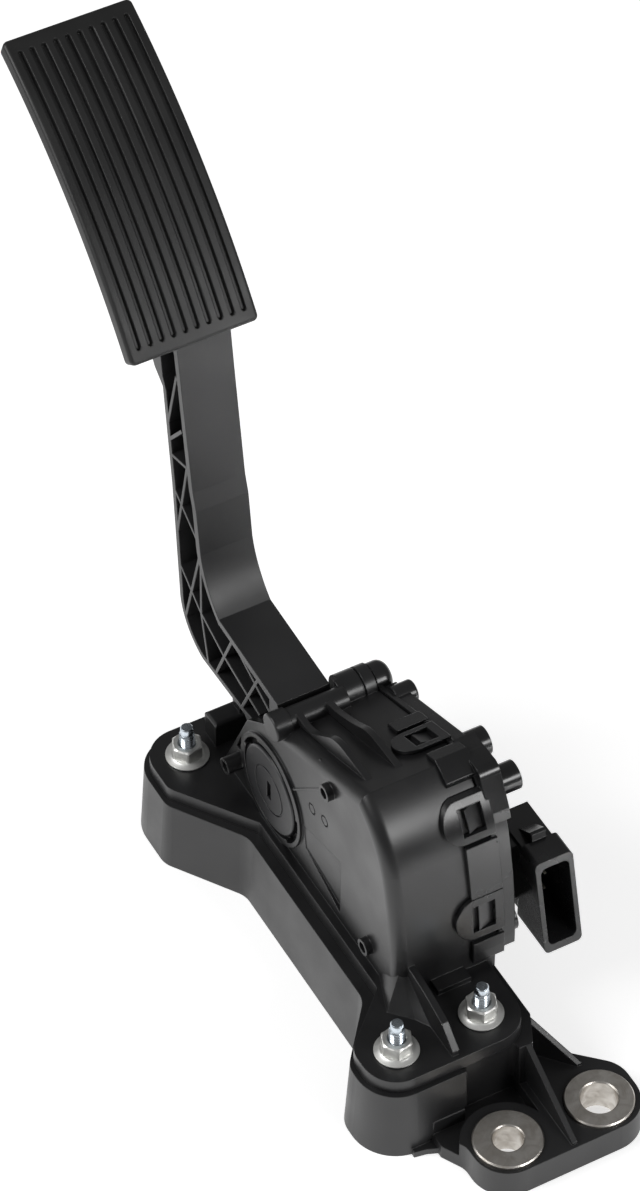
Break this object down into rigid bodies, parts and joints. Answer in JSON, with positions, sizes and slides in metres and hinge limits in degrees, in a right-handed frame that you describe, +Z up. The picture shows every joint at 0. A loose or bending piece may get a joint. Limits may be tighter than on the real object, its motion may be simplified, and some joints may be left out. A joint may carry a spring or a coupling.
{
  "type": "accelerator pedal with travel sensor",
  "caption": "Floor-mounted accelerator pedal with a truss-ribbed arm and grooved pad, a spring and friction housing, a clipped travel sensor cover with connector, and a bolted adapter base.",
  "frame": {"origin": "centre of the locating bush's bore on the mounting plane, under the base", "axes": "+X along the pedal pivot towards the sensor cover, +Y from the bushes towards the pad, +Z up, out of the mounting plane"},
  "size_m": [0.1032, 0.3443, 0.3023],
  "materials": {
    "base_nylon": "moulded glass-filled nylon",
    "housing_nylon": "moulded glass-filled nylon",
    "cover_nylon": "moulded glass-filled nylon, slight sheen",
    "arm_nylon": "moulded glass-filled nylon",
    "pad_nylon": "grained moulded nylon",
    "axle_acetal": "moulded acetal",
    "turned_steel": "turned steel",
    "bright_zinc": "bright zinc plate",
    "grey_zinc": "matt zinc plate",
    "limiter_steel": "plain steel",
    "seal_rubber": "moulded rubber",
    "board_laminate": "glass-epoxy laminate",
    "chip_epoxy": "moulded epoxy",
    "tinned_brass": "tinned brass",
    "magnet_ferrite": "sintered ferrite",
    "shoe_acetal": "moulded acetal",
    "spring_steel": "drawn spring steel",
    "seat_acetal": "moulded acetal"
  },
  "bodies": {
    "pedal_frame": {"adapter_base": "base_nylon", "pedal_housing": "housing_nylon", "sensor_cover": "cover_nylon", "locating_bush": "turned_steel", "clearance_bush": "turned_steel", "mounting_studs": "bright_zinc", "flange_nuts": "grey_zinc", "flange_limiters": "limiter_steel", "cover_seal": "seal_rubber", "circuit_board": "board_laminate", "hall_sensors": "chip_epoxy", "connector_terminals": "tinned_brass", "friction_shoe": "shoe_acetal", "outer_spring": "spring_steel", "inner_spring": "spring_steel"},
    "pedal": {"pedal_arm": "arm_nylon", "pedal_pad": "pad_nylon", "pivot_axle": "axle_acetal", "sensor_magnet": "magnet_ferrite", "spring_seat": "seat_acetal"}
  },
  "joints": [
    {"name": "pedal_pivot", "type": "hinge", "parent": "pedal_frame", "child": "pedal", "pos_m": [0, 0.1536, 0.0602], "axis": [-1, 0, 0], "range_deg": [0, 15], "stiffness_Nm_per_rad": 8, "springref_deg": -24.06, "deforming": ["outer_spring", "inner_spring"]}
  ]
}
